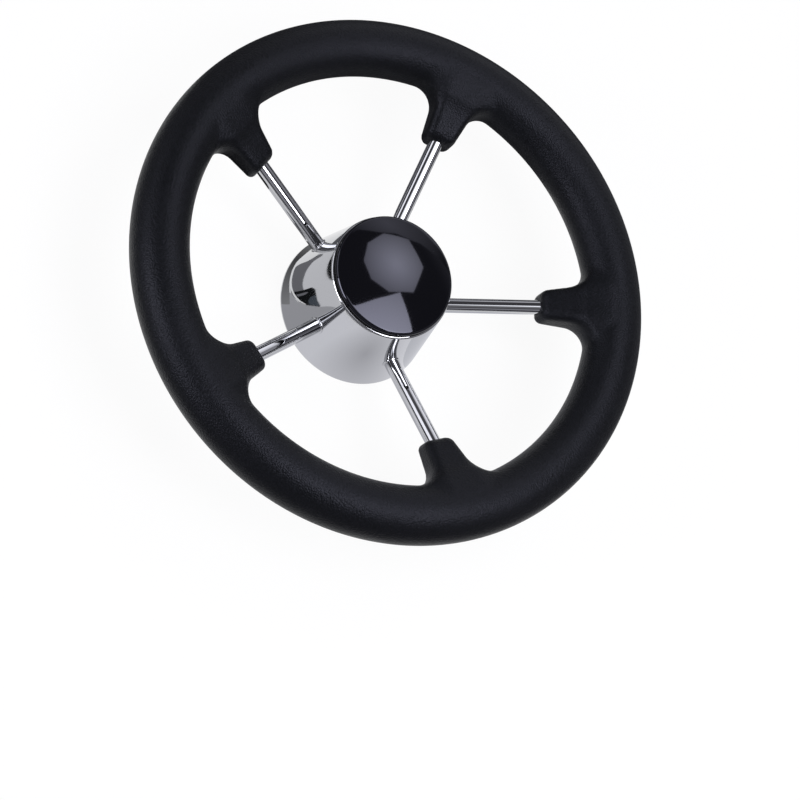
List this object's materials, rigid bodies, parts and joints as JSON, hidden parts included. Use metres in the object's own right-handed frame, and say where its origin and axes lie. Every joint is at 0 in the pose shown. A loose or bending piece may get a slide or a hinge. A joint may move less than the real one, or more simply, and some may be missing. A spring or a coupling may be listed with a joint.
{
  "type": "boat steering wheel",
  "caption": "Boat steering wheel: polished steel hub cone, straight rod spokes sloping up to a round black foam grip with moulded horns, and a domed cap that pulls off the shaft nut.",
  "frame": {"origin": "centre of the hub cone's rear edge, which the wheel lies on face up", "axes": "+Z along the wheel's axis, out of its face; -Y along spoke_1; X across it"},
  "size_m": [0.343, 0.343, 0.0846],
  "materials": {
    "grip_foam": "satin grained skin",
    "polished_steel": "mirror polished",
    "rolled_steel": "mill finish",
    "turned_steel": "turned",
    "cap_plastic": "gloss",
    "seal_rubber": "matt"
  },
  "bodies": {
    "wheel": {"foam_grip": "grip_foam", "rim_ring": "rolled_steel", "spoke_1": "polished_steel", "spoke_2": "polished_steel", "spoke_3": "polished_steel", "spoke_4": "polished_steel", "spoke_5": "polished_steel", "hub_cone": "polished_steel", "hub_boss": "turned_steel"},
    "cap": {"centre_cap": "cap_plastic", "cap_seal_ring": "seal_rubber"}
  },
  "joints": [
    {"name": "cap_pull", "type": "slide", "parent": "wheel", "child": "cap", "axis": [0, 0, 1], "range_m": [0, 0.03]}
  ]
}
